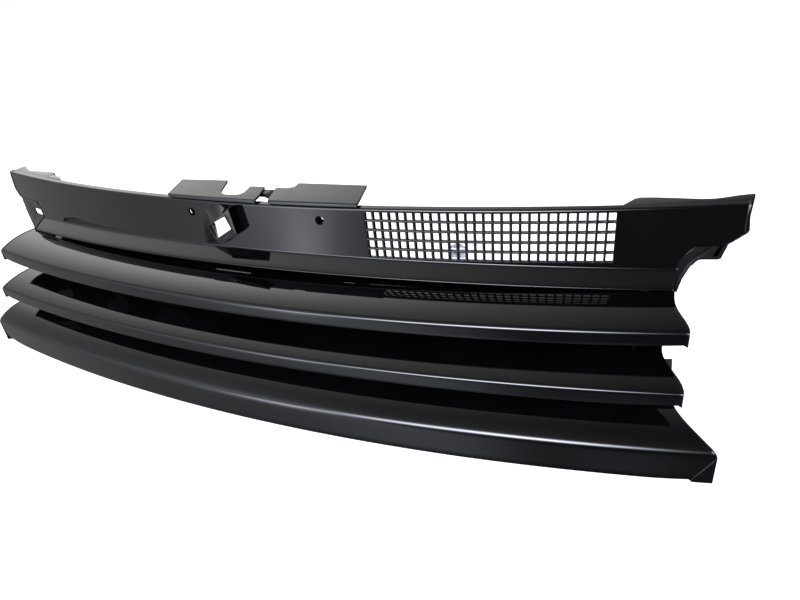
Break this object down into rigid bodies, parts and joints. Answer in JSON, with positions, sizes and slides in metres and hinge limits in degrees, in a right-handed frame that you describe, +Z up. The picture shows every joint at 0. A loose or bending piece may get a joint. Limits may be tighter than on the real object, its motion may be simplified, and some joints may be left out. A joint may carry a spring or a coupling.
{
  "type": "front grille",
  "caption": "Bowed front grille with an upper panel, intake mesh, release-handle guide, carrier tabs and forward-stepped slats on a rear frame.",
  "frame": {"origin": "midway between the two carrier screw seats behind the upper panel, in the plane of the seats", "axes": "+X to the right as seen from the front along the grille's width, -Y to the front, +Z up"},
  "size_m": [0.962, 0.1814, 0.232],
  "materials": {
    "gloss_black": "piano-black gloss, clean",
    "satin_black": "fine satin moulded surface",
    "mesh_black": "semi-gloss moulded bars",
    "zinc_steel": "bright zinc plate"
  },
  "bodies": {
    "root": {"upper_panel": "gloss_black", "intake_mesh": "mesh_black", "release_handle_guide": "gloss_black", "left_carrier_tab": "satin_black", "right_carrier_tab": "satin_black", "latch_bridge": "satin_black", "left_wing_flange": "gloss_black", "right_wing_flange": "gloss_black", "left_headlamp_bracket": "satin_black", "right_headlamp_bracket": "satin_black", "top_slat": "gloss_black", "middle_slat": "gloss_black", "bottom_slat": "gloss_black", "rear_frame": "satin_black", "left_end_wall": "satin_black", "right_end_wall": "satin_black", "upper_ribs": "satin_black", "lower_ribs": "satin_black", "slat_screws": "zinc_steel", "frame_screws": "zinc_steel", "tab_screws": "zinc_steel", "bracket_screws": "zinc_steel", "mesh_clips": "zinc_steel", "guide_clips": "zinc_steel", "bumper_clips": "satin_black"}
  },
  "joints": []
}
